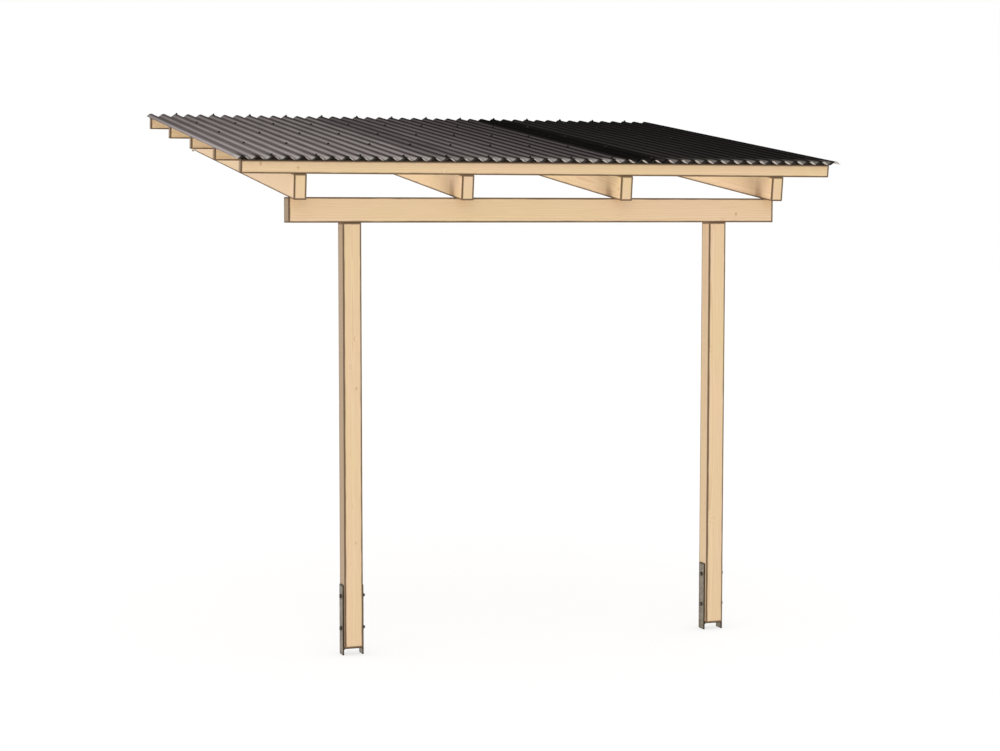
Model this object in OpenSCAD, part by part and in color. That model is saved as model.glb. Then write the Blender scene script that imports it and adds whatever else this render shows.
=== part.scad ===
// Lean-to patio cover: a wall plate and a beam on two posts carry sloping
// rafters, with battens across them and lapped corrugated sheets on top.
// The origin is the centre of the wall plate's back face, which lies on the
// house wall. The wall is at +Y, the open front at -Y, and +Z is up.

/* [Roof] */
// Slope of the roof, in degrees
roof_pitch = 7; // [4:0.5:15]
// Number of rafters
rafter_count = 4; // [3:1:5]
// Length of a rafter along its top edge
rafter_l = 2400; // [1500:10:4000]
// Width of a rafter
rafter_w = 60; // [50:1:100]
// Depth of a rafter, square to the slope
rafter_h = 120; // [100:1:200]
// How far a rafter's lower front corner stands out past the beam
rafter_overhang = 100; // [50:5:300]
// Depth of the level seat cut into a rafter at the beam's front edge
seat_cut = 2; // [1:1:10]
// Number of battens
batten_count = 5; // [3:1:8]
// Width of a batten along the slope
batten_w = 40; // [30:1:80]
// Height of a batten
batten_h = 65; // [30:1:80]
// How far the battens stand out past the outer rafters
batten_overhang = 250; // [0:10:400]

/* [Sheets] */
// Width of one wave of the sheet
wave_pitch = 70; // [60:1:90]
// Height of the wave, from trough to crest
wave_h = 18; // [12:1:30]
// Thickness of the sheet
sheet_t = 1; // [0.8:0.1:2]
// Number of crests of one sheet that lie on the next
lap_crests = 2; // [1:1:3]
// Width of sheet outside its outer crests
sheet_edge = 25; // [15:1:30]
// How far the outer crests may stand out past the battens' ends
sheet_side = 20; // [0:5:40]
// How far the sheets stand out past the front batten
sheet_front = 40; // [20:5:80]
// How far the row of sheets lies to the right of the middle
sheet_shift = 12; // [0:1:20]

/* [Beam and posts] */
// Length of the front beam
beam_l = 2500; // [2000:10:3500]
// Thickness of the front beam
beam_w = 90; // [70:1:140]
// Height of the front beam
beam_h = 120; // [100:1:200]
// Side of a square post
post_w = 90; // [75:1:140]
// Length of a post, from its shoe to the beam
post_l = 2025; // [1600:5:2600]
// Distance from an end of the beam to the post's outer face
post_inset = 260; // [0:10:500]

/* [Wall plate] */
// Thickness of the wall plate
plate_w = 60; // [40:1:100]
// Height of the wall plate
plate_h = 120; // [115:1:200]
// Diameter of the holes for the wall bolts
wall_hole_d = 13; // [9:1:18]

/* [Post shoes] */
// Thickness of the shoe's steel
shoe_t = 6; // [4:1:8]
// Width of the shoe's plates
shoe_w = 60; // [50:1:70]
// Height of the shoe's plates above its web
shoe_h = 300; // [250:10:400]
// Length of the shoe's plates below the underside of its web
shoe_leg = 30; // [20:5:60]
// Leg of the weld between the web and a plate
shoe_weld = 5; // [3:1:6]
// Diameter of a shoe bolt
shoe_bolt_d = 12; // [8:1:16]
// Distance of the upper bolt below the top of the shoe's plates
shoe_bolt_top = 55; // [30:5:70]
// Distance between the two bolts
shoe_bolt_spacing = 155; // [100:5:160]

/* [Rafter hangers and tie plates] */
// Thickness of the hangers' and tie plates' steel
strap_t = 2; // [1.5:0.5:3]
// Height of a hanger's cheeks
hanger_h = 95; // [60:5:110]
// Length of a hanger's seat
hanger_l = 60; // [50:5:90]
// Width of the flanges behind the rafter's end
hanger_flange = 22; // [18:1:24]
// Width of a tie plate
tie_w = 60; // [40:5:70]
// Height of a tie plate, half on the post and half on the beam
tie_h = 180; // [120:10:190]
// Diameter of the nail holes
nail_hole_d = 5; // [4:0.5:6]

/* [Hidden] */

wood = "burlywood";
steel = "darkgray";
sheet = "dimgray";

// Eased edge of the planed timber
ease = 3;
// Clearance between steel and timber, and between two lapped sheets
fit_gap = 0.3;
// Clearance of a bolt in its hole, on the diameter
hole_clearance = 1;
// How far a cutting solid runs past what it cuts
past = 20;
// Steps in one wave of a sheet's outline
wave_steps = 16;
// Sheets in the row
sheet_count = 3;
// Radius of the hangers' upper front corners
hanger_corner = 8;
// Distance of a nail hole from the steel's edge
nail_margin = 12;

rise = tan(roof_pitch);
function tenths(v) = round(v * 10) / 10;

// Back end of the rafters, against the hangers' flanges on the wall plate
rafter_back_y = -plate_w - strap_t;
hanger_seat_z = strap_t - plate_h / 2;
rafter_back_z = hanger_seat_z + rafter_h / cos(roof_pitch);

// Lower front corner of a rafter, cut square to the slope
rafter_front_y = rafter_back_y - rafter_l * cos(roof_pitch) + rafter_h * sin(roof_pitch);

// The beam's place, to a tenth of a millimetre
beam_front_y = tenths(rafter_front_y + rafter_overhang);
beam_back_y = beam_front_y + beam_w;
beam_top_z = tenths(hanger_seat_z + (beam_front_y - rafter_back_y) * rise + seat_cut);

// The posts' backs are flush with the beam's back
post_top_z = beam_top_z - beam_h;
post_foot_z = post_top_z - post_l;
post_y = beam_back_y - post_w / 2;
post_x = beam_l / 2 - post_inset - post_w / 2;
shoe_bolt_high = shoe_h - shoe_bolt_top;
shoe_bolt_low = shoe_bolt_high - shoe_bolt_spacing;

// The outer rafters' outer faces are flush with the beam's ends
rafter_span = beam_l - rafter_w;
function rafter_x(i) = (i - 1) * rafter_span / (rafter_count - 1) - rafter_span / 2;

// Two wall bolts a side, clear of the hangers
wall_hole_spacing = tenths(rafter_span * 2 / 9);

batten_l = beam_l + 2 * batten_overhang;
function batten_s(i) = (i - 1) * (rafter_l - batten_w) / (batten_count - 1);

// The row of sheets has as many crests as cover the battens
row_crests = floor((batten_l + 2 * sheet_side) / wave_pitch) + 1;
cover_crests = ceil((row_crests - lap_crests) / sheet_count);
first_crest_x = sheet_shift - (row_crests - 1) * wave_pitch / 2;
sheet_l = rafter_l + sheet_front;
function sheet_crests(i) =
    i < sheet_count ? cover_crests + lap_crests : row_crests - (sheet_count - 1) * cover_crests;

// Each sheet after the first tilts: its left edge lies on the one before, and
// its right edge on the battens
lap_lift = sheet_t + fit_gap;
function lap_tilt(i) = i == 1 ? 0 : atan(lap_lift / ((sheet_crests(i) - 1) * wave_pitch + sheet_edge));

// Outline of planed timber, with its corner at the origin
module timber_section(a, b) {
    polygon([
        [ease, 0], [a - ease, 0], [a, ease], [a, b - ease],
        [a - ease, b], [ease, b], [0, b - ease], [0, ease]
    ]);
}

// Timber along each axis, with its lowest corner at the origin
module timber_x(l, w, h) {
    rotate([90, 0, 90]) linear_extrude(l) timber_section(w, h);
}

module timber_y(w, l, h) {
    translate([0, l, 0]) rotate([90, 0, 0]) linear_extrude(l) timber_section(w, h);
}

module timber_z(w, d, l) {
    linear_extrude(l) timber_section(w, d);
}

// Places children on top of the rafters, with Y up the slope from their front
// end and Z square to the slope
module on_rafters() {
    translate([0, rafter_back_y, rafter_back_z])
        rotate([roof_pitch, 0, 0])
            translate([0, -rafter_l, 0])
                children();
}

// Nail hole at a point of thin steel that faces along X, or along Y
module nail_hole_x(p) {
    translate([p.x - past / 2, p.y, p.z]) rotate([0, 90, 0]) cylinder(d = nail_hole_d, h = past, $fn = 24);
}

module nail_hole_y(p) {
    translate([p.x, p.y - past / 2, p.z]) rotate([-90, 0, 0]) cylinder(d = nail_hole_d, h = past, $fn = 24);
}

module post(x) {
    color(wood) difference() {
        translate([x - post_w / 2, post_y - post_w / 2, post_foot_z]) timber_z(post_w, post_w, post_l);
        shoe_bolt_holes(x);
    }
}

module shoe_bolt_holes(x) {
    for (h = [shoe_bolt_low, shoe_bolt_high])
        translate([x - post_w, post_y, post_foot_z + h])
            rotate([0, 90, 0])
                cylinder(d = shoe_bolt_d + hole_clearance, h = 2 * post_w, $fn = 48);
}

// H-shaped shoe: two plates beside the post, a web under it and a weld under
// each end of the web
module post_shoe(x) {
    inside = post_w / 2 + fit_gap;
    side_h = shoe_leg + shoe_t + shoe_h;
    color(steel) difference() {
        translate([x, post_y + shoe_w / 2, post_foot_z - shoe_t - shoe_leg])
            rotate([90, 0, 0])
                linear_extrude(shoe_w) {
                    translate([-inside, shoe_leg]) square([2 * inside, shoe_t]);
                    for (side = [0, 1]) mirror([side, 0]) {
                        translate([inside, 0]) square([shoe_t, side_h]);
                        translate([inside, shoe_leg])
                            polygon([[0, -shoe_weld], [0, 0], [-shoe_weld, 0]]);
                    }
                }
        shoe_bolt_holes(x);
    }
}

// Hexagon for a bolt's head or nut, chamfered round its end at the origin
module hexagon(flats, h) {
    end_d = 0.95 * flats;
    intersection() {
        cylinder(d = flats / cos(30), h = h, $fn = 6);
        cylinder(d1 = end_d, d2 = end_d + 2 * h / tan(30), h = h, $fn = 48);
    }
}

// Two bolts through the shoe's plates and the post, each with its nut
module shoe_bolts(x) {
    outside = post_w / 2 + fit_gap + shoe_t;
    flats = 1.5 * shoe_bolt_d;
    head_h = 0.63 * shoe_bolt_d;
    nut_h = 0.8 * shoe_bolt_d;
    tail = 0.4 * shoe_bolt_d;
    color(steel)
        for (h = [shoe_bolt_low, shoe_bolt_high])
            translate([x, post_y, post_foot_z + h])
                rotate([0, 90, 0]) {
                    translate([0, 0, -outside - head_h]) hexagon(flats, head_h);
                    translate([0, 0, -outside])
                        cylinder(d = shoe_bolt_d, h = 2 * outside + nut_h + tail, $fn = 48);
                    translate([0, 0, outside + nut_h]) mirror([0, 0, 1]) hexagon(flats, nut_h);
                }
}

// Flat plate with nail holes across the joint of post and beam, on their backs
module post_tie(x) {
    hole_x = tie_w / 2 - nail_margin;
    inner_z = 1.5 * nail_margin;
    outer_z = tie_h / 2 - nail_margin;
    color(steel) translate([x, beam_back_y, post_top_z]) difference() {
        translate([-tie_w / 2, 0, -tie_h / 2]) cube([tie_w, strap_t, tie_h]);
        for (sx = [-1, 1], sz = [-1, 1], z = [inner_z, (inner_z + outer_z) / 2, outer_z])
            nail_hole_y([sx * hole_x, 0, sz * z]);
    }
}

module front_beam() {
    color(wood) translate([-beam_l / 2, beam_front_y, post_top_z]) timber_x(beam_l, beam_w, beam_h);
}

// A rafter is square at its front and plumb at the wall plate, with a level
// seat on its hanger and on the beam
module rafter(i) {
    side_x = rafter_x(i) - rafter_w / 2;
    color(wood) difference() {
        on_rafters() translate([side_x, 0, -rafter_h]) timber_y(rafter_w, rafter_l, rafter_h);
        translate([side_x - past, 0, 0]) {
            translate([0, rafter_back_y, -2 * rafter_h])
                cube([rafter_w + 2 * past, rafter_h, 4 * rafter_h]);
            translate([0, rafter_back_y - hanger_l, hanger_seat_z - past])
                cube([rafter_w + 2 * past, hanger_l + past, past]);
            translate([0, beam_front_y, beam_top_z - past])
                cube([rafter_w + 2 * past, beam_w, past]);
        }
    }
}

// Hanger folded from one piece: a seat, two cheeks with a round front corner,
// and a flange behind each side of the rafter's end
module rafter_hanger(i) {
    inside = rafter_w / 2 + fit_gap;
    flange_z = 2 * strap_t;
    hole_y = -hanger_l / 2;
    color(steel) translate([rafter_x(i), rafter_back_y, hanger_seat_z - strap_t]) difference() {
        union() {
            intersection() {
                hanger_fold(inside);
                hanger_side(inside + strap_t);
            }
            for (side = [0, 1]) mirror([side, 0, 0])
                translate([inside - hanger_flange, 0, flange_z])
                    cube([hanger_flange + strap_t, strap_t, hanger_h - flange_z]);
        }
        for (side = [-1, 1]) {
            for (z = [0.35, 0.6, 0.85] * hanger_h)
                nail_hole_x([side * inside, hole_y + nail_margin, z]);
            for (z = [0.25, 0.5, 0.75] * hanger_h)
                nail_hole_x([side * inside, hole_y - nail_margin, z]);
            for (z = [0.2, 0.5, 0.8] * hanger_h)
                nail_hole_y([side * (inside - hanger_flange / 2), 0, z]);
        }
    }
}

// The hanger's seat and cheeks, folded with a round outer corner
module hanger_fold(inside) {
    rotate([90, 0, 0]) linear_extrude(hanger_l) {
        translate([-inside, 0]) square([2 * inside, strap_t]);
        for (side = [0, 1]) mirror([side, 0])
            translate([inside, strap_t]) {
                square([strap_t, hanger_h - strap_t]);
                intersection() {
                    circle(r = strap_t, $fn = 32);
                    translate([0, -strap_t]) square(strap_t);
                }
            }
    }
}

// The hanger's side outline, with its upper front corner rounded
module hanger_side(outside) {
    translate([-outside, 0, 0]) rotate([90, 0, 90]) linear_extrude(2 * outside) {
        translate([-hanger_l, 0]) square([hanger_l, hanger_h - hanger_corner]);
        translate([hanger_corner - hanger_l, 0]) square([hanger_l - hanger_corner, hanger_h]);
        translate([hanger_corner - hanger_l, hanger_h - hanger_corner])
            circle(r = hanger_corner, $fn = 48);
    }
}

module batten(i) {
    color(wood) on_rafters()
        translate([-batten_l / 2, batten_s(i), 0]) timber_x(batten_l, batten_w, batten_h);
}

// Height of a sheet's underside over its troughs, at a distance from a crest
function wave_z(x) = wave_h / 2 * (1 + cos(360 * x / wave_pitch));

// Corrugated sheet, with its first crest at the origin and its troughs at Z = 0
module corrugated_sheet(crests) {
    step = wave_pitch / wave_steps;
    edge_steps = ceil(sheet_edge / step) - 1;
    xs = concat(
        [-sheet_edge],
        [for (i = [-edge_steps:(crests - 1) * wave_steps + edge_steps]) i * step],
        [(crests - 1) * wave_pitch + sheet_edge]
    );
    underside = [for (x = xs) [x, wave_z(x)]];
    topside = [for (i = [len(xs) - 1:-1:0]) [xs[i], wave_z(xs[i]) + sheet_t]];
    translate([0, sheet_l, 0]) rotate([90, 0, 0])
        linear_extrude(sheet_l) polygon(concat(underside, topside));
}

module roof_sheet(i) {
    color(sheet) on_rafters()
        translate([
            first_crest_x + (i - 1) * cover_crests * wave_pitch,
            -sheet_front,
            batten_h + (i == 1 ? 0 : lap_lift)
        ])
            rotate([0, lap_tilt(i), 0])
                corrugated_sheet(sheet_crests(i));
}

module wall_plate() {
    color(wood) difference() {
        translate([-beam_l / 2, -plate_w, -plate_h / 2]) timber_x(beam_l, plate_w, plate_h);
        for (i = [-1.5:1:1.5])
            translate([i * wall_hole_spacing, past, 0])
                rotate([90, 0, 0])
                    cylinder(d = wall_hole_d, h = plate_w + 2 * past, $fn = 48);
    }
}

post(-post_x);  // post_left
post(post_x);  // post_right
post_shoe(-post_x);  // post_shoe_left
post_shoe(post_x);  // post_shoe_right
shoe_bolts(-post_x);  // shoe_bolts_left
shoe_bolts(post_x);  // shoe_bolts_right
post_tie(-post_x);  // post_tie_left
post_tie(post_x);  // post_tie_right
front_beam();
wall_plate();
for (i = [1:rafter_count]) {
    rafter(i);
    rafter_hanger(i);
}
for (i = [1:batten_count])
    batten(i);
roof_sheet(1);  // roof_sheet_left
roof_sheet(2);  // roof_sheet_middle
roof_sheet(3);  // roof_sheet_right
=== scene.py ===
"""Looks of the lean-to patio cover, built round its CAD frame. Metres, +Z up, the wall at +Y."""

import math

import bmesh
import bpy
from mathutils import Matrix, Vector
from mathutils.bvhtree import BVHTree


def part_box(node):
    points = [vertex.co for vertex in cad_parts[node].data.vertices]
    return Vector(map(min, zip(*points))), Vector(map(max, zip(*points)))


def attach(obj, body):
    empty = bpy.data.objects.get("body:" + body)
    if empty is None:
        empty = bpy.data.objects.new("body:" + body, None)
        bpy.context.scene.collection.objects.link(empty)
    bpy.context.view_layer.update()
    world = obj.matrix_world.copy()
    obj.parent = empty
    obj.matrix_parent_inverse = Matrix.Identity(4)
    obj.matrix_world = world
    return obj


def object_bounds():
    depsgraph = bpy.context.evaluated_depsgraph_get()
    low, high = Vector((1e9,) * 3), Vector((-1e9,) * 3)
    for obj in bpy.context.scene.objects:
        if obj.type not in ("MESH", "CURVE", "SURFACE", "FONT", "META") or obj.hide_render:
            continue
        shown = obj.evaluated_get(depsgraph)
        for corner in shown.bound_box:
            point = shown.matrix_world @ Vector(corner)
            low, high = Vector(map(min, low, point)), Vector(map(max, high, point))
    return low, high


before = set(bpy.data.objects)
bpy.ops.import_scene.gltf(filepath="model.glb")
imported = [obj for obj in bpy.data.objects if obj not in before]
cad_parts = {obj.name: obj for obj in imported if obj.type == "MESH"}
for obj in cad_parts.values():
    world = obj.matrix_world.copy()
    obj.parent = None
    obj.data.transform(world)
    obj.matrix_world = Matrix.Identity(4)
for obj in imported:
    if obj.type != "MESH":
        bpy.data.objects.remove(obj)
cad_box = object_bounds()


# Post shoes. Each is an H of 6 mm steel plate under a post: two plates beside
# the wood, with a web welded between them that holds the end grain off the
# ground. The whole shoe is hot-dip galvanised after it is welded.
def linear(hex_colour):
    """An sRGB hex colour as linear RGBA."""
    parts = [int(hex_colour[i : i + 2], 16) / 255 for i in (1, 3, 5)]
    return [c / 12.92 if c <= 0.04045 else ((c + 0.055) / 1.055) ** 2.4 for c in parts] + [1]


def add_node(tree, kind, inputs=(), stops=(), **settings):
    """Adds a node. An input takes a value or another node's output; stops are a ramp's colours."""
    node = tree.nodes.new("ShaderNode" + kind)
    for name, value in settings.items():
        setattr(node, name, value)
    for name, value in dict(inputs).items():
        if isinstance(value, bpy.types.NodeSocket):
            tree.links.new(value, node.inputs[name])
        else:
            node.inputs[name].default_value = value
    if stops:
        ramp = node.color_ramp.elements
        while len(ramp) < len(stops):
            ramp.new(1)
        for element, (position, colour) in zip(ramp, stops):
            element.position = position
            element.color = linear(colour)
    return node


def new_material(name):
    """An empty material and its node tree."""
    material = bpy.data.materials.new(name)
    material.use_nodes = True
    material.node_tree.nodes.clear()
    return material, material.node_tree


def dress(node, material):
    """Gives every material slot of a CAD node one material."""
    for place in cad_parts[node].material_slots:
        place.material = material


def corners_of(node):
    """The low and the high corner of a CAD node's box."""
    return [Vector(corner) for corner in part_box(node)]


def galvanised_steel(name, spangle, pale, mid, dark, plates=None):
    """Zinc-coated steel: a dull grey patchwork of zinc crystals, as wide as spangle, in metres.

    plates is a node of thick plates that stand across X. They have brown edges,
    3 to 6 mm wide, where their zinc is thin.
    """
    material, tree = new_material(name)
    place = add_node(tree, "TexCoord").outputs["Object"]
    # Zinc freezes in angular crystals, each with a grey of its own
    crystals = add_node(tree, "TexVoronoi", {"Vector": place, "Scale": 1 / spangle})
    crystal_grey = add_node(tree, "SeparateColor", {"Color": crystals.outputs["Color"]})
    # Clouds some 110 mm across, where the zinc has dulled in the open air
    clouds = add_node(
        tree, "TexNoise", {"Vector": place, "Scale": 9, "Detail": 4, "Roughness": 0.6}
    )
    blend = add_node(tree, "Mix", {0: 0.62, 2: crystal_grey.outputs[0], 3: clouds.outputs[0]})
    colour = add_node(
        tree,
        "ValToRGB",
        {"Fac": blend.outputs[0]},
        stops=[(0.2, dark), (0.5, mid), (0.8, pale)],
    ).outputs[0]
    if plates:
        low, high = corners_of(plates)
        from_middle = add_node(
            tree, "VectorMath", {0: place, 1: (low + high) / 2}, operation="SUBTRACT"
        ).outputs[0]
        outward = add_node(
            tree, "VectorMath", {0: from_middle}, operation="ABSOLUTE"
        ).outputs[0]
        inset = add_node(
            tree, "VectorMath", {0: (high - low) / 2, 1: outward}, operation="SUBTRACT"
        ).outputs[0]
        insets = add_node(tree, "SeparateXYZ", {0: inset})
        nearest = add_node(
            tree, "Math", {0: insets.outputs[1], 1: insets.outputs[2]}, operation="MINIMUM"
        ).outputs[0]
        brown = add_node(
            tree,
            "MapRange",
            {"Value": nearest, "From Min": 0.006, "From Max": 0.003, "To Max": 0.9},
        ).outputs[0]
        colour = add_node(
            tree, "Mix", {0: brown, 6: colour, 7: linear("#382B1B")}, data_type="RGBA"
        ).outputs[2]
    gloss = add_node(
        tree, "MapRange", {"Value": crystal_grey.outputs[1], "To Min": 0.42, "To Max": 0.6}
    )
    # The coat is grainy, 1.7 mm from grain to grain
    grit = add_node(tree, "TexNoise", {"Vector": place, "Scale": 600, "Detail": 2})
    relief = add_node(
        tree, "Bump", {"Strength": 0.25, "Distance": 0.0003, "Height": grit.outputs[0]}
    )
    shader = add_node(
        tree,
        "BsdfPrincipled",
        {
            "Base Color": colour,
            "Roughness": gloss.outputs[0],
            "Metallic": 0.9,
            "Normal": relief.outputs[0],
        },
    )
    add_node(tree, "OutputMaterial", {"Surface": shader.outputs[0]})
    return material


# A coat dipped on thick plate is dull, with crystals about 9 mm across
sides = ("left", "right")
for side in sides:
    shoe = "post_shoe_" + side
    zinc = galvanised_steel(
        "hot_dip_galvanised_plate_" + side, 0.009, "#9A9181", "#7D7466", "#625949", plates=shoe
    )
    dress(shoe, zinc)


# Shoe bolts. Two M12 hexagon bolts with nuts clamp each shoe to its post. They
# are zinc-plated steel that has darkened, with grease in the threads.
def plated_bolt_steel():
    """Zinc-plated machined steel: darker and smoother than a dipped coat, with turning marks."""
    material, tree = new_material("zinc_plated_machined_steel")
    place = add_node(tree, "TexCoord").outputs["Object"]
    # Tarnish in spots some 8 mm across
    tarnish = add_node(
        tree, "TexNoise", {"Vector": place, "Scale": 120, "Detail": 5, "Roughness": 0.65}
    )
    colour = add_node(
        tree,
        "ValToRGB",
        {"Fac": tarnish.outputs[0]},
        stops=[(0.3, "#3E3830"), (0.6, "#5C554B"), (0.8, "#7A7368")],
    )
    # Turning marks, drawn 0.6 mm apart: coarser than real ones, so that they show
    marks = add_node(
        tree, "TexWave", {"Vector": place, "Scale": 500, "Distortion": 0.5}, bands_direction="X"
    )
    relief = add_node(
        tree, "Bump", {"Strength": 0.2, "Distance": 0.0002, "Height": marks.outputs[1]}
    )
    shader = add_node(
        tree,
        "BsdfPrincipled",
        {
            "Base Color": colour.outputs[0],
            "Roughness": 0.38,
            "Metallic": 0.9,
            "Normal": relief.outputs[0],
        },
    )
    add_node(tree, "OutputMaterial", {"Surface": shader.outputs[0]})
    return material


bolt_steel = plated_bolt_steel()
for side in sides:
    dress("shoe_bolts_" + side, bolt_steel)


# Posts. Square sawn pine, planed on four sides with eased edges, standing on
# the shoes' webs. The heart of the log runs inside each post.
def planed_pine(name, centre, rotation, section, heart, tone, worn=()):
    """Planed pine in a timber's own frame: Z along the grain, X and Y across its section.

    heart is where the middle of the yearly rings lies in the section. tone, from
    0 to 1, is how yellow the late wood is, and picks another piece of the log.
    worn lists painted shade on the faces at the low ends of some
    axes: the axis, the colour, its share and how far it reaches in.
    """
    material, tree = new_material(name)
    place = add_node(tree, "TexCoord").outputs["Object"]
    local = add_node(
        tree,
        "Mapping",
        {"Vector": place, "Location": centre, "Rotation": rotation},
        vector_type="TEXTURE",
    ).outputs[0]
    from_heart = add_node(
        tree, "VectorMath", {0: local, 1: (*heart, 0)}, operation="SUBTRACT"
    ).outputs[0]

    # The trunk was never quite straight or round: the rings wander by 12 mm in a metre
    long_way = add_node(tree, "VectorMath", {0: from_heart, 1: (5, 5, 0.9)}, operation="MULTIPLY")
    wander = add_node(
        tree,
        "TexNoise",
        {"Vector": long_way.outputs[0], "Scale": 1, "Detail": 2, "W": 9 * tone},
        noise_dimensions="4D",
    )
    shift = add_node(
        tree,
        "VectorMath",
        {0: wander.outputs[1], 1: (0.024, 0.024, 0), 2: from_heart},
        operation="MULTIPLY_ADD",
    )
    spot = add_node(tree, "SeparateXYZ", {0: shift.outputs[0]})
    flat = add_node(tree, "CombineXYZ", {0: spot.outputs[0], 1: spot.outputs[1]}).outputs[0]
    radius = add_node(tree, "VectorMath", {0: flat}, operation="LENGTH").outputs["Value"]

    # Knots are branches that run out from the heart: a few in a metre of trunk,
    # each some 15 mm thick at 60 mm from the heart
    outward = add_node(tree, "VectorMath", {0: flat}, operation="NORMALIZE").outputs[0]
    around = add_node(tree, "VectorMath", {0: outward, "Scale": 0.5}, operation="SCALE")
    height = add_node(
        tree, "Math", {0: spot.outputs[2], 1: 1 / 0.13, 2: 31 * tone}, operation="MULTIPLY_ADD"
    ).outputs[0]
    lift = add_node(tree, "CombineXYZ", {2: height}).outputs[0]
    branch_place = add_node(
        tree, "VectorMath", {0: around.outputs[0], 1: lift}, operation="ADD"
    ).outputs[0]
    branches = add_node(tree, "TexVoronoi", {"Vector": branch_place, "Scale": 1})
    knot = add_node(
        tree,
        "MapRange",
        {"Value": branches.outputs["Distance"], "From Min": 0.085, "From Max": 0.045},
        interpolation_type="SMOOTHSTEP",
    ).outputs[0]
    # The rings bend round a knot by up to 10 mm
    swirl = add_node(
        tree,
        "MapRange",
        {
            "Value": branches.outputs["Distance"],
            "From Min": 0.3,
            "From Max": 0.05,
            "To Max": 0.01,
        },
        interpolation_type="SMOOTHSTEP",
    ).outputs[0]

    # Yearly rings, 6 mm apart: coarser than real pine's 3 mm, so that they show
    bent = add_node(tree, "Math", {0: radius, 1: swirl}, operation="ADD").outputs[0]
    years = add_node(tree, "Math", {0: bent, 1: 1 / 0.006}, operation="MULTIPLY").outputs[0]
    season = add_node(tree, "Math", {0: years}, operation="FRACT").outputs[0]
    late = add_node(
        tree,
        "ValToRGB",
        {"Fac": season},
        stops=[
            (0, "#808080"),
            (0.06, "#000000"),
            (0.5, "#303030"),
            (0.94, "#FFFFFF"),
            (1, "#808080"),
        ],
    ).outputs[0]

    # Fibres: fine streaks 2 mm across and a tenth of a metre long
    fibre_place = add_node(tree, "VectorMath", {0: local, 1: (500, 500, 10)}, operation="MULTIPLY")
    fibres = add_node(
        tree, "TexNoise", {"Vector": fibre_place.outputs[0], "Scale": 1, "Detail": 3}
    ).outputs[0]
    # Broad tones, 110 mm wide and 0.6 m long, from pinkish to yellowish
    tone_place = add_node(tree, "VectorMath", {0: local, 1: (9, 9, 1.6)}, operation="MULTIPLY")
    tones = add_node(
        tree,
        "TexNoise",
        {"Vector": tone_place.outputs[0], "Scale": 1, "Detail": 2, "W": 5 * tone},
        noise_dimensions="4D",
    ).outputs[0]
    early_colour = add_node(
        tree, "ValToRGB", {"Fac": tones}, stops=[(0.3, "#F0D1AE"), (0.7, "#EDD3A4")]
    ).outputs[0]
    late_colour = add_node(
        tree, "Mix", {0: tone, 6: linear("#DFB68C"), 7: linear("#D8AE80")}, data_type="RGBA"
    ).outputs[2]
    late_share = add_node(tree, "Math", {0: late, 1: 0.5}, operation="MULTIPLY").outputs[0]
    ringed = add_node(
        tree, "Mix", {0: late_share, 6: early_colour, 7: late_colour}, data_type="RGBA"
    ).outputs[2]
    streak = add_node(
        tree, "MapRange", {"Value": fibres, "From Min": 0.45, "From Max": 0.8, "To Max": 0.25}
    ).outputs[0]
    streaked = add_node(
        tree, "Mix", {0: streak, 6: ringed, 7: linear("#CBA274")}, data_type="RGBA"
    ).outputs[2]
    knot_share = add_node(tree, "Math", {0: knot, 1: 0.4}, operation="MULTIPLY").outputs[0]
    knotted = add_node(
        tree, "Mix", {0: knot_share, 6: streaked, 7: linear("#9A6638")}, data_type="RGBA"
    ).outputs[2]

    # Painted shade on some faces, which the dirt of the edges goes over
    wood = knotted
    for axis, painted_shade_colour, painted_shade_share, reach in worn:
        distance = add_node(tree, "SeparateXYZ", {0: local}).outputs[axis]
        painted_shade_face = add_node(
            tree,
            "MapRange",
            {
                "Value": distance,
                "From Min": reach - section[axis] / 2,
                "From Max": reach / 4 - section[axis] / 2,
                "To Max": painted_shade_share,
            },
        ).outputs[0]
        wood = add_node(
            tree, "Mix", {0: painted_shade_face, 6: wood, 7: linear(painted_shade_colour)}, data_type="RGBA"
        ).outputs[2]

    # Hands and weather darken the eased edges, in a ragged band about 8 mm wide
    around_middle = add_node(tree, "VectorMath", {0: local}, operation="ABSOLUTE").outputs[0]
    half = (section[0] / 2, section[1] / 2, section[2] / 2)
    inset = add_node(
        tree, "VectorMath", {0: half, 1: around_middle}, operation="SUBTRACT"
    ).outputs[0]
    ragged = add_node(
        tree,
        "MapRange",
        {
            "Value": fibres,
            "From Min": 0.3,
            "From Max": 0.7,
            "To Min": -0.0016,
            "To Max": 0.0016,
        },
    ).outputs[0]
    inset = add_node(tree, "VectorMath", {0: inset, 1: ragged}, operation="ADD").outputs[0]
    insets = add_node(tree, "SeparateXYZ", {0: inset})
    nearness = [
        add_node(
            tree,
            "MapRange",
            {"Value": insets.outputs[i], "From Min": 0.0095, "From Max": 0.006},
        ).outputs[0]
        for i in range(3)
    ]
    corners = [
        add_node(tree, "Math", {0: nearness[i], 1: nearness[j]}, operation="MULTIPLY").outputs[0]
        for i, j in ((0, 1), (0, 2), (1, 2))
    ]
    edge = add_node(tree, "Math", {0: corners[0], 1: corners[1]}, operation="MAXIMUM").outputs[0]
    edge = add_node(tree, "Math", {0: edge, 1: corners[2]}, operation="MAXIMUM").outputs[0]
    edge_share = add_node(tree, "Math", {0: edge, 1: 0.9}, operation="MULTIPLY").outputs[0]
    edged = add_node(
        tree,
        "Mix",
        {0: edge_share, 6: wood, 7: linear("#5A422B")},
        data_type="RGBA",
        blend_type="DARKEN",
    ).outputs[2]

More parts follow.
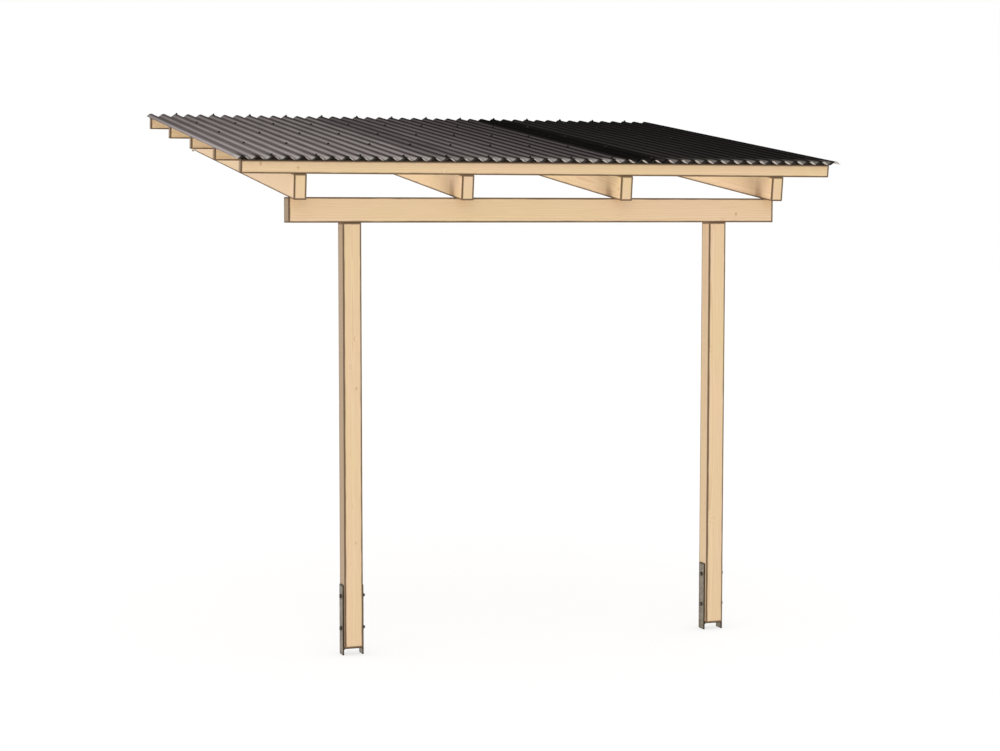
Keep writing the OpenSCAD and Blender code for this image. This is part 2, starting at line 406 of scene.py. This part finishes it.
    # The hard late wood and the fibres stand a little proud of the planed face
    relief_height = add_node(
        tree, "Math", {0: late, 1: 0.6, 2: fibres}, operation="MULTIPLY_ADD"
    ).outputs[0]
    relief = add_node(tree, "Bump", {"Strength": 0.35, "Distance": 0.0003, "Height": relief_height})
    dryness = add_node(
        tree, "MapRange", {"Value": fibres, "To Min": 0.55, "To Max": 0.75}
    ).outputs[0]
    shader = add_node(
        tree,
        "BsdfPrincipled",
        {
            "Base Color": edged,
            "Roughness": dryness,
            "Specular IOR Level": 0.25,
            "IOR": 1.5,
            "Normal": relief.outputs[0],
        },
    )
    add_node(tree, "OutputMaterial", {"Surface": shader.outputs[0]})
    return material


def box_of(node):
    """The middle and the size of a CAD node's box."""
    low, high = corners_of(node)
    return (low + high) / 2, high - low


# The faces on the open left side are painted darker and greyer: painted shade
upright = (0, 0, 0)
for side, heart, tone, worn in (
    ("left", (0.012, -0.02), 0.2, (0, "#8B7762", 0.85, 0.004)),
    ("right", (-0.02, 0.008), 0.8, (0, "#9C8670", 0.5, 0.004)),
):
    centre, size = box_of("post_" + side)
    name = "planed_pine_post_" + side
    pine = planed_pine(name, centre, upright, size, heart, tone, [worn])
    dress("post_" + side, pine)


# Front beam. One planed pine timber laid on the posts, 90 by 120 mm. Its open
# left end is painted darker and greyer: painted shade.
along_x = Matrix.Rotation(math.radians(90), 3, "Y")
centre, size = box_of("front_beam")
pine = planed_pine(
    "planed_pine_beam",
    centre,
    along_x.to_euler(),
    (size.z, size.y, size.x),
    heart=(0.075, 0.03),
    tone=0.44,
    # Painted shade on the open left end
    worn=[(2, "#76654F", 0.85, 0.004)],
)
dress("front_beam", pine)


# Tie plates and rafter hangers. Both are 2 mm sheet, galvanised as a coil
# before it was cut and folded, so their zinc is brighter and its crystals small.
coil_zinc = galvanised_steel("pregalvanised_sheet", 0.004, "#C6C4BF", "#AEABA5", "#938F89")
for side in sides:
    dress("post_tie_" + side, coil_zinc)
hangers = sorted(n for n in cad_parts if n.startswith("rafter_hanger_"))
for hanger in hangers:
    dress(hanger, coil_zinc)


# Connector nails. Ring-shank nails with flat round heads, 8 mm across, fill the
# 5 mm holes of the tie plates and of the hangers' cheeks.
def turn(build, profile, foot, axis, segments):
    """Adds a solid of (radius, height) points, from its foot to its top. Returns its corners."""
    across = axis.orthogonal().normalized()
    around = axis.cross(across)
    rings = []
    for radius, height in profile:
        spokes = segments if radius else 1
        angles = [2 * math.pi * i / spokes for i in range(spokes)]
        rings.append(
            [
                build.verts.new(
                    foot
                    + axis * height
                    + (across * math.cos(a) + around * math.sin(a)) * radius
                )
                for a in angles
            ]
        )
    for low, high in zip(rings, rings[1:]):
        for i in range(segments):
            j = (i + 1) % segments
            if len(low) == 1:
                build.faces.new((low[0], high[j], high[i]))
            elif len(high) == 1:
                build.faces.new((low[i], low[j], high[0]))
            else:
                build.faces.new((low[i], low[j], high[j], high[i]))
    return [v for ring in rings for v in ring]


def finish_piece(build, name, material):
    """Makes a fixed piece of the cover from a mesh built where it stands."""
    mesh = bpy.data.meshes.new(name)
    build.to_mesh(mesh)
    build.free()
    mesh.shade_smooth()
    mesh.set_sharp_from_angle(angle=math.radians(35))
    mesh.materials.append(material)
    piece = bpy.data.objects.new(name, mesh)
    bpy.context.collection.objects.link(piece)
    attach(piece, "root")


steel_gauge = 0.002
nail_margin = 0.012
nail_profile = (
    (0, -0.004),
    (0.0021, -0.004),
    (0.0021, 0),
    (0.0038, 0),
    (0.004, 0.0004),
    (0.0038, 0.001),
    (0.0026, 0.0014),
    (0, 0.0015),
)
nail_zinc = galvanised_steel("plated_nail_steel", 0.002, "#B5AFA2", "#9A9385", "#7A7366")
# A tie plate has two columns of six nails: three in the post, three in the beam
for side in sides:
    tie_middle, tie_size = box_of("post_tie_" + side)
    column = tie_size.x / 2 - nail_margin
    inner = 1.5 * nail_margin
    outer = tie_size.z / 2 - nail_margin
    rows = (inner, (inner + outer) / 2, outer)
    nails = bmesh.new()
    for x in (-column, column):
        for z in [-row for row in reversed(rows)] + list(rows):
            head = tie_middle + Vector((x, tie_size.y / 2, z))
            turn(nails, nail_profile, head, Vector((0, 1, 0)), segments=16)
    finish_piece(nails, "tie_nails_" + side, nail_zinc)
# A cheek has two columns of three, out of step, at shares of its height
for hanger in hangers:
    low, high = corners_of(hanger)
    cheek_middle = (low.y + high.y - steel_gauge) / 2
    cheek_height = high.z - low.z
    nails = bmesh.new()
    for outward, x in ((-1, low.x), (1, high.x)):
        for y, shares in ((nail_margin, (0.35, 0.6, 0.85)), (-nail_margin, (0.25, 0.5, 0.75))):
            for share in shares:
                head = Vector((x, cheek_middle + y, low.z + share * cheek_height))
                turn(nails, nail_profile, head, Vector((outward, 0, 0)), segments=16)
    name = hanger.replace("rafter_hanger_", "hanger_nails_")
    finish_piece(nails, name, nail_zinc)


# Wall plate. One planed pine timber, 60 by 120 mm, with four holes for the
# bolts that hold it flat to the wall. It carries the rafters' hangers.
centre, size = box_of("wall_plate")
pine = planed_pine(
    "planed_pine_wall_plate",
    centre,
    along_x.to_euler(),
    (size.z, size.y, size.x),
    heart=(0.02, 0.05),
    tone=0.3,
)
dress("wall_plate", pine)


# Rafters. Planed pine, 60 by 120 mm, sloping down from the wall at 7 degrees.
# The first one's left side is painted darker than the rest: painted shade.
roof_pitch = math.radians(7)
rafter_depth = 0.12
rafter_length = 2.4
up_slope = Matrix.Rotation(roof_pitch - math.radians(90), 3, "X")
rafters = [hanger.replace("hanger_", "") for hanger in hangers]
for i, name in enumerate(rafters):
    centre, size = box_of(name)
    # From the lower front edge to the middle of the front end, then up the slope
    front = corners_of(name)[0]
    front.x = centre.x
    front += Vector((0, math.sin(roof_pitch), math.cos(roof_pitch))) * rafter_depth / 2
    middle = front + up_slope @ Vector((0, 0, rafter_length / 2))
    pine = planed_pine(
        "planed_pine_" + name,
        middle,
        up_slope.to_euler(),
        (size.x, rafter_depth, rafter_length),
        heart=(0.05 * (-1) ** i, 0.03 * (i - 1.5)),
        tone=i / (len(rafters) - 1),
        # Painted shade on the first rafter's left side
        worn=[(0, "#BDA489", 0.5, 0.004)] if i == 0 else (),
    )
    dress(name, pine)


# Battens. Planed pine laths, 40 by 65 mm on edge, screwed across the rafters.
# Their upper faces, and a band below them, are painted nearly black as painted
# shade under the sheets, and the end grain at the open left side is painted darker, as painted
# shade.
batten_width = 0.04
batten_depth = 0.065
across_slope = Matrix.Rotation(roof_pitch, 3, "X") @ along_x
battens = sorted(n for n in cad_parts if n.startswith("batten_"))
for i, name in enumerate(battens):
    centre, size = box_of(name)
    pine = planed_pine(
        "planed_pine_" + name,
        centre,
        across_slope.to_euler(),
        (batten_depth, batten_width, size.x),
        heart=(0.05 - 0.02 * i, 0.04 + 0.01 * i),
        tone=i / (len(battens) - 1),
        # Painted shade: the upper faces nearly black, the left end grain darker
        worn=[(0, "#1C140D", 0.95, 0.014), (2, "#6E5842", 0.8, 0.004)],
    )
    dress(name, pine)


# Roof sheets. Extruded PVC in a dark smoke grey, 1 mm thick, with waves 70 mm
# apart. Each sheet after the first laps two waves over its left neighbour.
wave_pitch = 0.07
sheet_edge = 0.025
lapped_waves = 2
lap_width = lapped_waves * wave_pitch


def streaked_pvc_with_painted_light(name, sheet, left_to_right_shade_colours, left_highlight, right_highlight, eaves_highlight_colour, lap_shade):
    """Extruded PVC, gone dull, with rain streaks, painted shade and painted highlights.

    left_to_right_shade_colours are its colours at the left edge, in the middle and at the
    right edge, paler at the left as painted shade; left_highlight and right_highlight the share
    of the painted highlight on the flanks at the two edges, eaves_highlight_colour the painted
    highlight at the eaves, and lap_shade how much darker it is painted where it lies over its left
    neighbour.
    """
    material, tree = new_material(name)
    place = add_node(tree, "TexCoord").outputs["Object"]
    spot = add_node(tree, "SeparateXYZ", {0: place})
    low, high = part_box(sheet)
    first_crest = low[0] + sheet_edge
    # How far through a wave: 0 on a crest, 0.5 in a trough
    waves = add_node(
        tree,
        "MapRange",
        {"Value": spot.outputs[0], "From Min": first_crest, "From Max": first_crest + wave_pitch},
        clamp=False,
    ).outputs[0]
    through = add_node(tree, "Math", {0: waves}, operation="FRACT").outputs[0]

    # Painted shade: paler at the open left side and darker to the right
    across = add_node(
        tree, "MapRange", {"Value": spot.outputs[0], "From Min": low[0], "From Max": high[0]}
    ).outputs[0]
    left_to_right_shade = add_node(
        tree,
        "ValToRGB",
        {"Fac": across},
        stops=[(i / 2, colour) for i, colour in enumerate(left_to_right_shade_colours)],
    ).outputs[0]
    # Rain leaves streaks down the slope, 15 mm wide and half a metre long
    streak_place = add_node(tree, "VectorMath", {0: place, 1: (70, 2, 2)}, operation="MULTIPLY")
    streaks = add_node(
        tree, "TexNoise", {"Vector": streak_place.outputs[0], "Scale": 1, "Detail": 4}
    ).outputs[0]
    stain = add_node(
        tree, "MapRange", {"Value": streaks, "From Min": 0.4, "From Max": 0.75, "To Max": 0.35}
    ).outputs[0]
    colour = add_node(
        tree, "Mix", {0: stain, 6: left_to_right_shade, 7: linear("#151111")}, data_type="RGBA"
    ).outputs[2]

    # A painted highlight low on the flank that faces the open side, in a soft band 17 mm wide,
    # broken up along the rain streaks
    band = add_node(
        tree,
        "ValToRGB",
        {"Fac": through},
        stops=[(0.62, "#000000"), (0.71, "#FFFFFF"), (0.76, "#FFFFFF"), (0.86, "#000000")],
    ).outputs[0]
    highlight_across = add_node(
        tree, "MapRange", {"Value": across, "To Min": left_highlight, "To Max": right_highlight}
    ).outputs[0]
    highlight_streaking = add_node(
        tree,
        "MapRange",
        {"Value": streaks, "From Min": 0.3, "From Max": 0.7, "To Min": 1, "To Max": 0.75},
    ).outputs[0]
    highlight_strength = add_node(tree, "Math", {0: highlight_across, 1: highlight_streaking}, operation="MULTIPLY").outputs[0]
    highlight_share = add_node(tree, "Math", {0: band, 1: highlight_strength}, operation="MULTIPLY").outputs[0]
    colour = add_node(
        tree, "Mix", {0: highlight_share, 6: colour, 7: linear("#B8AFAD")}, data_type="RGBA"
    ).outputs[2]
    # The last 170 mm before the eaves has a painted highlight on the same flank, and
    # is darker on the rest of the wave and all over the last 30 mm
    eaves = add_node(
        tree,
        "MapRange",
        {
            "Value": spot.outputs[1],
            "From Min": low[1] + 0.17,
            "From Max": low[1] + 0.04,
            "To Max": 0.85,
        },
    ).outputs[0]
    eaves_highlight = add_node(
        tree,
        "ValToRGB",
        {"Fac": through},
        stops=[(0.5, "#2B2521"), (0.66, eaves_highlight_colour), (0.76, eaves_highlight_colour), (0.88, "#2B2521")],
    ).outputs[0]
    colour = add_node(
        tree, "Mix", {0: eaves, 6: colour, 7: eaves_highlight}, data_type="RGBA"
    ).outputs[2]
    rim = add_node(
        tree,
        "MapRange",
        {
            "Value": spot.outputs[1],
            "From Min": low[1] + 0.036,
            "From Max": low[1] + 0.022,
            "To Max": 0.9,
        },
    ).outputs[0]
    colour = add_node(
        tree, "Mix", {0: rim, 6: colour, 7: linear("#16120D")}, data_type="RGBA"
    ).outputs[2]
    # Painted shade: darker towards the wall
    shade = add_node(
        tree,
        "MapRange",
        {
            "Value": spot.outputs[1],
            "From Min": low[1] + 0.3,
            "From Max": high[1],
            "To Max": 0.35,
        },
    ).outputs[0]
    colour = add_node(
        tree, "Mix", {0: shade, 6: colour, 7: linear("#0C0808")}, data_type="RGBA"
    ).outputs[2]
    # Painted shade: where it lies over its left neighbour it is painted darker, as two tinted
    # sheets would look, with 25 mm from one look to the other
    lap = add_node(
        tree,
        "MapRange",
        {
            "Value": spot.outputs[0],
            "From Min": low[0] + lap_width + 0.03,
            "From Max": low[0] + lap_width + 0.005,
            "To Max": lap_shade,
        },
    ).outputs[0]
    colour = add_node(
        tree, "Mix", {0: lap, 6: colour, 7: linear("#0A0606")}, data_type="RGBA"
    ).outputs[2]
    # Painted light: seen from below it is painted pale, as daylight through the smoke tint would
    # light it
    facing = add_node(
        tree, "SeparateXYZ", {0: add_node(tree, "TexCoord").outputs["Normal"]}
    ).outputs[2]
    below = add_node(
        tree, "MapRange", {"Value": facing, "From Min": -0.1, "From Max": -0.3}
    ).outputs[0]
    colour = add_node(
        tree, "Mix", {0: below, 6: colour, 7: linear("#C6BFB9")}, data_type="RGBA"
    ).outputs[2]
    gloss = add_node(
        tree, "MapRange", {"Value": streaks, "To Min": 0.8, "To Max": 0.95}
    ).outputs[0]
    # The extruder leaves ripples some 17 mm across
    ripple = add_node(tree, "TexNoise", {"Vector": place, "Scale": 60, "Detail": 2})
    relief = add_node(
        tree, "Bump", {"Strength": 0.15, "Distance": 0.0006, "Height": ripple.outputs[0]}
    )
    shader = add_node(
        tree,
        "BsdfPrincipled",
        {
            "Base Color": colour,
            "Roughness": gloss,
            "IOR": 1.53,
            "Specular IOR Level": 0.005,
            "Normal": relief.outputs[0],
        },
    )
    add_node(tree, "OutputMaterial", {"Surface": shader.outputs[0]})
    return material


# Each sheet: its painted shade colours from left to right, its painted highlight's share at the two
# edges, its painted highlight at the eaves and its painted lap shade
for part, *looks in (
    ("left", ("#746B6A", "#5B5252", "#3C3535"), 0.97, 0.7, "#C4BDB6", 0),
    ("middle", ("#494142", "#2F2828", "#151111"), 0.55, 0.2, "#BDB7B1", 0.25),
    ("right", ("#1B1616", "#100D0D", "#0D0A0A"), 0.1, 0.06, "#8F8983", 0.92),
):
    sheet = "roof_sheet_" + part
    dress(sheet, streaked_pvc_with_painted_light("weathered_pvc_" + part, sheet, *looks))


# Eaves filler. Plugs of dark closed-cell polyethylene foam, 30 mm deep, close
# the waves over the first batten. Their dark fills the arches under the crests at the eaves as
# painted shade.
def cut_foam():
    """Cut polyethylene foam: matt and dark, with its cells drawn 1 mm wide so that they show."""
    material, tree = new_material("cut_polyethylene_foam")
    place = add_node(tree, "TexCoord").outputs["Object"]
    cells = add_node(tree, "TexVoronoi", {"Vector": place, "Scale": 1000})
    colour = add_node(
        tree,
        "ValToRGB",
        {"Fac": cells.outputs["Distance"]},
        stops=[(0.1, "#1B1815"), (0.7, "#2E2A26")],
    )
    relief = add_node(
        tree, "Bump", {"Strength": 0.4, "Distance": 0.0003, "Height": cells.outputs["Distance"]}
    )
    shader = add_node(
        tree,
        "BsdfPrincipled",
        {
            "Base Color": colour.outputs[0],
            "Roughness": 0.95,
            "IOR": 1.5,
            "Specular IOR Level": 0.05,
            "Normal": relief.outputs[0],
        },
    )
    add_node(tree, "OutputMaterial", {"Surface": shader.outputs[0]})
    return material


slope_up = up_slope @ Vector((0, 0, 1))
slope_out = Vector((1, 0, 0)).cross(slope_up)
sheets = ["roof_sheet_" + part for part in ("left", "middle", "right")]
shapes = bpy.context.evaluated_depsgraph_get()
sheet_surfaces = [BVHTree.FromObject(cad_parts[n], shapes) for n in sheets]
sheet_crests = 16
crests_between = sheet_crests - lapped_waves
wave_count = 2 * crests_between + sheet_crests
wave_steps = 16
filler_depth = 0.03
filler_setback = 0.003
end_gap = 0.001
thinnest_foam = 0.0004
# The rays that find the sheets' undersides start this far below the batten's top
ray_start = 0.01
first_crest = corners_of(sheets[0])[0].x + sheet_edge
batten_middle, batten_size = box_of(battens[0])
batten_top = batten_middle + slope_out * batten_depth / 2
# Each plug fills the room between the batten's top and the sheets under one crest
filler = bmesh.new()
for wave in range(wave_count):
    section = []
    for step in range(-wave_steps // 2, wave_steps // 2 + 1):
        foot = batten_top.copy()
        foot.x = first_crest + (wave + step / wave_steps) * wave_pitch
        if abs(foot.x - batten_middle.x) > batten_size.x / 2 - end_gap:
            continue
        below = foot - slope_out * ray_start
        hits = [s.ray_cast(below, slope_out)[3] for s in sheet_surfaces]
        room = min(h for h in hits if h) - ray_start
        if room < thinnest_foam:
            continue
        front = foot - slope_up * (batten_width / 2 - filler_setback)
        section.append(
            [
                filler.verts.new(front + slope_up * along + slope_out * high)
                for along, high in ((0, 0), (0, room), (filler_depth, room), (filler_depth, 0))
            ]
        )
    for left, right in zip(section, section[1:]):
        for i in range(4):
            j = (i + 1) % 4
            filler.faces.new((left[i], right[i], right[j], left[j]))
    filler.faces.new(section[0])
    filler.faces.new(section[-1][::-1])
bmesh.ops.recalc_face_normals(filler, faces=filler.faces)
finish_piece(filler, "eaves_filler", cut_foam())


# Roof screws. Self-drilling screws with 8 mm hexagon heads go through every
# third crest into each batten, on moulded seals that saddle the crest.
def moulded_seal_rubber():
    """EPDM rubber, pressed in a mould: matt, nearly black and a little dusty."""
    material, tree = new_material("moulded_epdm_seal")
    place = add_node(tree, "TexCoord").outputs["Object"]
    # Dust in patches 4 mm across
    dust = add_node(tree, "TexNoise", {"Vector": place, "Scale": 250, "Detail": 3})
    colour = add_node(
        tree,
        "ValToRGB",
        {"Fac": dust.outputs[0]},
        stops=[(0.35, "#141110"), (0.7, "#2C2826")],
    )
    relief = add_node(
        tree, "Bump", {"Strength": 0.2, "Distance": 0.0002, "Height": dust.outputs[0]}
    )
    shader = add_node(
        tree,
        "BsdfPrincipled",
        {
            "Base Color": colour.outputs[0],
            "Roughness": 0.85,
            "IOR": 1.52,
            "Specular IOR Level": 0.1,
            "Normal": relief.outputs[0],
        },
    )
    add_node(tree, "OutputMaterial", {"Surface": shader.outputs[0]})
    return material


def smoke_powder_coat():
    """Powder coat baked on the screws' heads: dark smoke grey, satin, with a faint orange peel."""
    material, tree = new_material("powder_coated_smoke_grey")
    place = add_node(tree, "TexCoord").outputs["Object"]
    # It has chalked in patches 6 mm across. The peel's bumps are 1 mm across.
    chalking = add_node(tree, "TexNoise", {"Vector": place, "Scale": 180, "Detail": 3})
    colour = add_node(
        tree,
        "ValToRGB",
        {"Fac": chalking.outputs[0]},
        stops=[(0.35, "#161312"), (0.7, "#24201E")],
    )
    peel = add_node(tree, "TexNoise", {"Vector": place, "Scale": 900, "Detail": 1})
    relief = add_node(
        tree, "Bump", {"Strength": 0.15, "Distance": 0.0001, "Height": peel.outputs[0]}
    )
    shader = add_node(
        tree,
        "BsdfPrincipled",
        {
            "Base Color": colour.outputs[0],
            "Roughness": 0.5,
            "IOR": 1.5,
            "Specular IOR Level": 0.2,
            "Normal": relief.outputs[0],
        },
    )
    add_node(tree, "OutputMaterial", {"Surface": shader.outputs[0]})
    return material


# The seals bend down to the radius of the sheets' crests
crest_radius = 0.0142
crests_per_screw = 3
above_roof = 0.3
seal_profile = ((0, -0.0004), (0.0082, -0.0004), (0.0088, 0.0008), (0.006, 0.0024), (0, 0.0026))
flange_profile = ((0, 0.0022), (0.0055, 0.0022), (0.0055, 0.003), (0, 0.0031))
hexagon_profile = ((0, 0.003), (0.0046, 0.003), (0.0046, 0.0066), (0.0039, 0.0072), (0, 0.0073))
shank_profile = ((0, -0.03), (0.0024, -0.028), (0.0024, 0.002), (0, 0.002))
seal_rubber = moulded_seal_rubber()
head_coat = smoke_powder_coat()
for i, sheet in enumerate(sheets):
    first_crest = corners_of(sheet)[0].x + sheet_edge
    screws = bmesh.new()
    seals = bmesh.new()
    free_crests = crests_between if sheet != sheets[-1] else sheet_crests
    for crest in range(free_crests):
        # The screws keep to every third crest from one sheet to the next
        if (crest + crests_between * i + 1) % crests_per_screw:
            continue
        for batten in battens:
            above = box_of(batten)[0] + slope_out * above_roof
            above.x = first_crest + crest * wave_pitch
            hits = [s.ray_cast(above, -slope_out)[0] for s in sheet_surfaces]
            # The seal sits on the upper sheet where two lap
            top = max((h for h in hits if h), key=lambda h: h.z)
            saddle = turn(seals, seal_profile, top, slope_out, segments=24)
            for corner in saddle:
                aside = corner.co.x - top.x
                corner.co -= slope_out * aside**2 / (2 * crest_radius)
            turn(screws, flange_profile, top, slope_out, segments=24)
            turn(screws, hexagon_profile, top, slope_out, segments=6)
            turn(screws, shank_profile, top, slope_out, segments=10)
    part = sheet.replace("roof_sheet_", "")
    finish_piece(screws, "roof_screws_" + part, head_coat)
    finish_piece(seals, "screw_seals_" + part, seal_rubber)


# Floor: a plain pale studio floor at the feet of the shoes. It shows the soft
# shadow of the cover and goes over into the white background.
def seen_directly(tree):
    """1 for the camera's rays and their mirror and glass rays, 0 for light that lands on things."""
    path = add_node(tree, "LightPath")
    direct = add_node(
        tree,
        "Math",
        {0: path.outputs["Is Camera Ray"], 1: path.outputs["Is Glossy Ray"]},
        operation="MAXIMUM",
    ).outputs[0]
    return add_node(
        tree, "Math", {0: direct, 1: path.outputs["Is Transmission Ray"]}, operation="MAXIMUM"
    ).outputs[0]


floor_radius = 60
floor_gap = 0.001
white = linear("#FFFFFF")
disc = bmesh.new()
bmesh.ops.create_circle(disc, cap_ends=True, segments=96, radius=floor_radius)
bmesh.ops.translate(disc, verts=disc.verts, vec=(0, 0, cad_box[0][2] - floor_gap))
floor_mesh = bpy.data.meshes.new("studio_floor")
disc.to_mesh(floor_mesh)
disc.free()
floor = bpy.data.objects.new("studio_floor", floor_mesh)
bpy.context.collection.objects.link(floor)
# Light that lands on the cover comes off plain paint. The camera sees it whiter.
floor_paint, tree = new_material("pale_floor_paint")
plain = add_node(tree, "BsdfDiffuse", {"Color": linear("#E8E8E8")})
shadowed = add_node(tree, "BsdfDiffuse", {"Color": linear("#A8A8A8")})
glow = add_node(tree, "Emission", {"Color": white, "Strength": 0.68})
lit = add_node(tree, "AddShader", {0: shadowed.outputs[0], 1: glow.outputs[0]})
shown = add_node(
    tree, "MixShader", {0: seen_directly(tree), 1: plain.outputs[0], 2: lit.outputs[0]}
)
add_node(tree, "OutputMaterial", {"Surface": shown.outputs[0]})
floor.data.materials.append(floor_paint)
# The fill lamp shines up from below the floor
floor.visible_shadow = False


# Background: a white world on all sides. It lights the cover a little more
# weakly than it shows, so that the pale timber keeps its colour.
world = bpy.data.worlds.new("white_studio")
world.use_nodes = True
bpy.context.scene.world = world
tree = world.node_tree
tree.nodes.clear()
sky_light = add_node(tree, "Background", {"Color": white, "Strength": 0.86})
sky_shown = add_node(tree, "Background", {"Color": white, "Strength": 1})
sky = add_node(
    tree,
    "MixShader",
    {0: seen_directly(tree), 1: sky_light.outputs[0], 2: sky_shown.outputs[0]},
)
add_node(tree, "OutputWorld", {"Surface": sky.outputs[0]})


# Lamps: a wide soft key lamp in front and to the left, and a fill lamp that
# shines up from low on the left, as a white reflector on the floor would.
for name, azimuth, elevation, strength, angle in (
    ("key_light", -15, 25, 0.35, 40),
    ("fill_light", -85, -30, 2.1, 50),
):
    lamp = bpy.data.lights.new(name, "SUN")
    lamp.energy = strength
    lamp.angle = math.radians(angle)
    light = bpy.data.objects.new(name, lamp)
    light.rotation_euler = (math.radians(90 - elevation), 0, math.radians(azimuth))
    bpy.context.collection.objects.link(light)


# Camera: level with the front beam, 9 m in front of it and 2 m past its left
# end. It looks 19 degrees to the right of square, and down by 4.5 degrees.
lens = bpy.data.cameras.new("camera")
lens.sensor_width = 36
lens.lens = 74.44
camera = bpy.data.objects.new("camera", lens)
camera.location = (-3.5163, -11.7515, -0.405)
camera.rotation_euler = (math.radians(90 - 4.513), -0.0007, math.radians(-19.345))
bpy.context.collection.objects.link(camera)
bpy.context.scene.camera = camera
bpy.context.scene.view_settings.view_transform = "Standard"
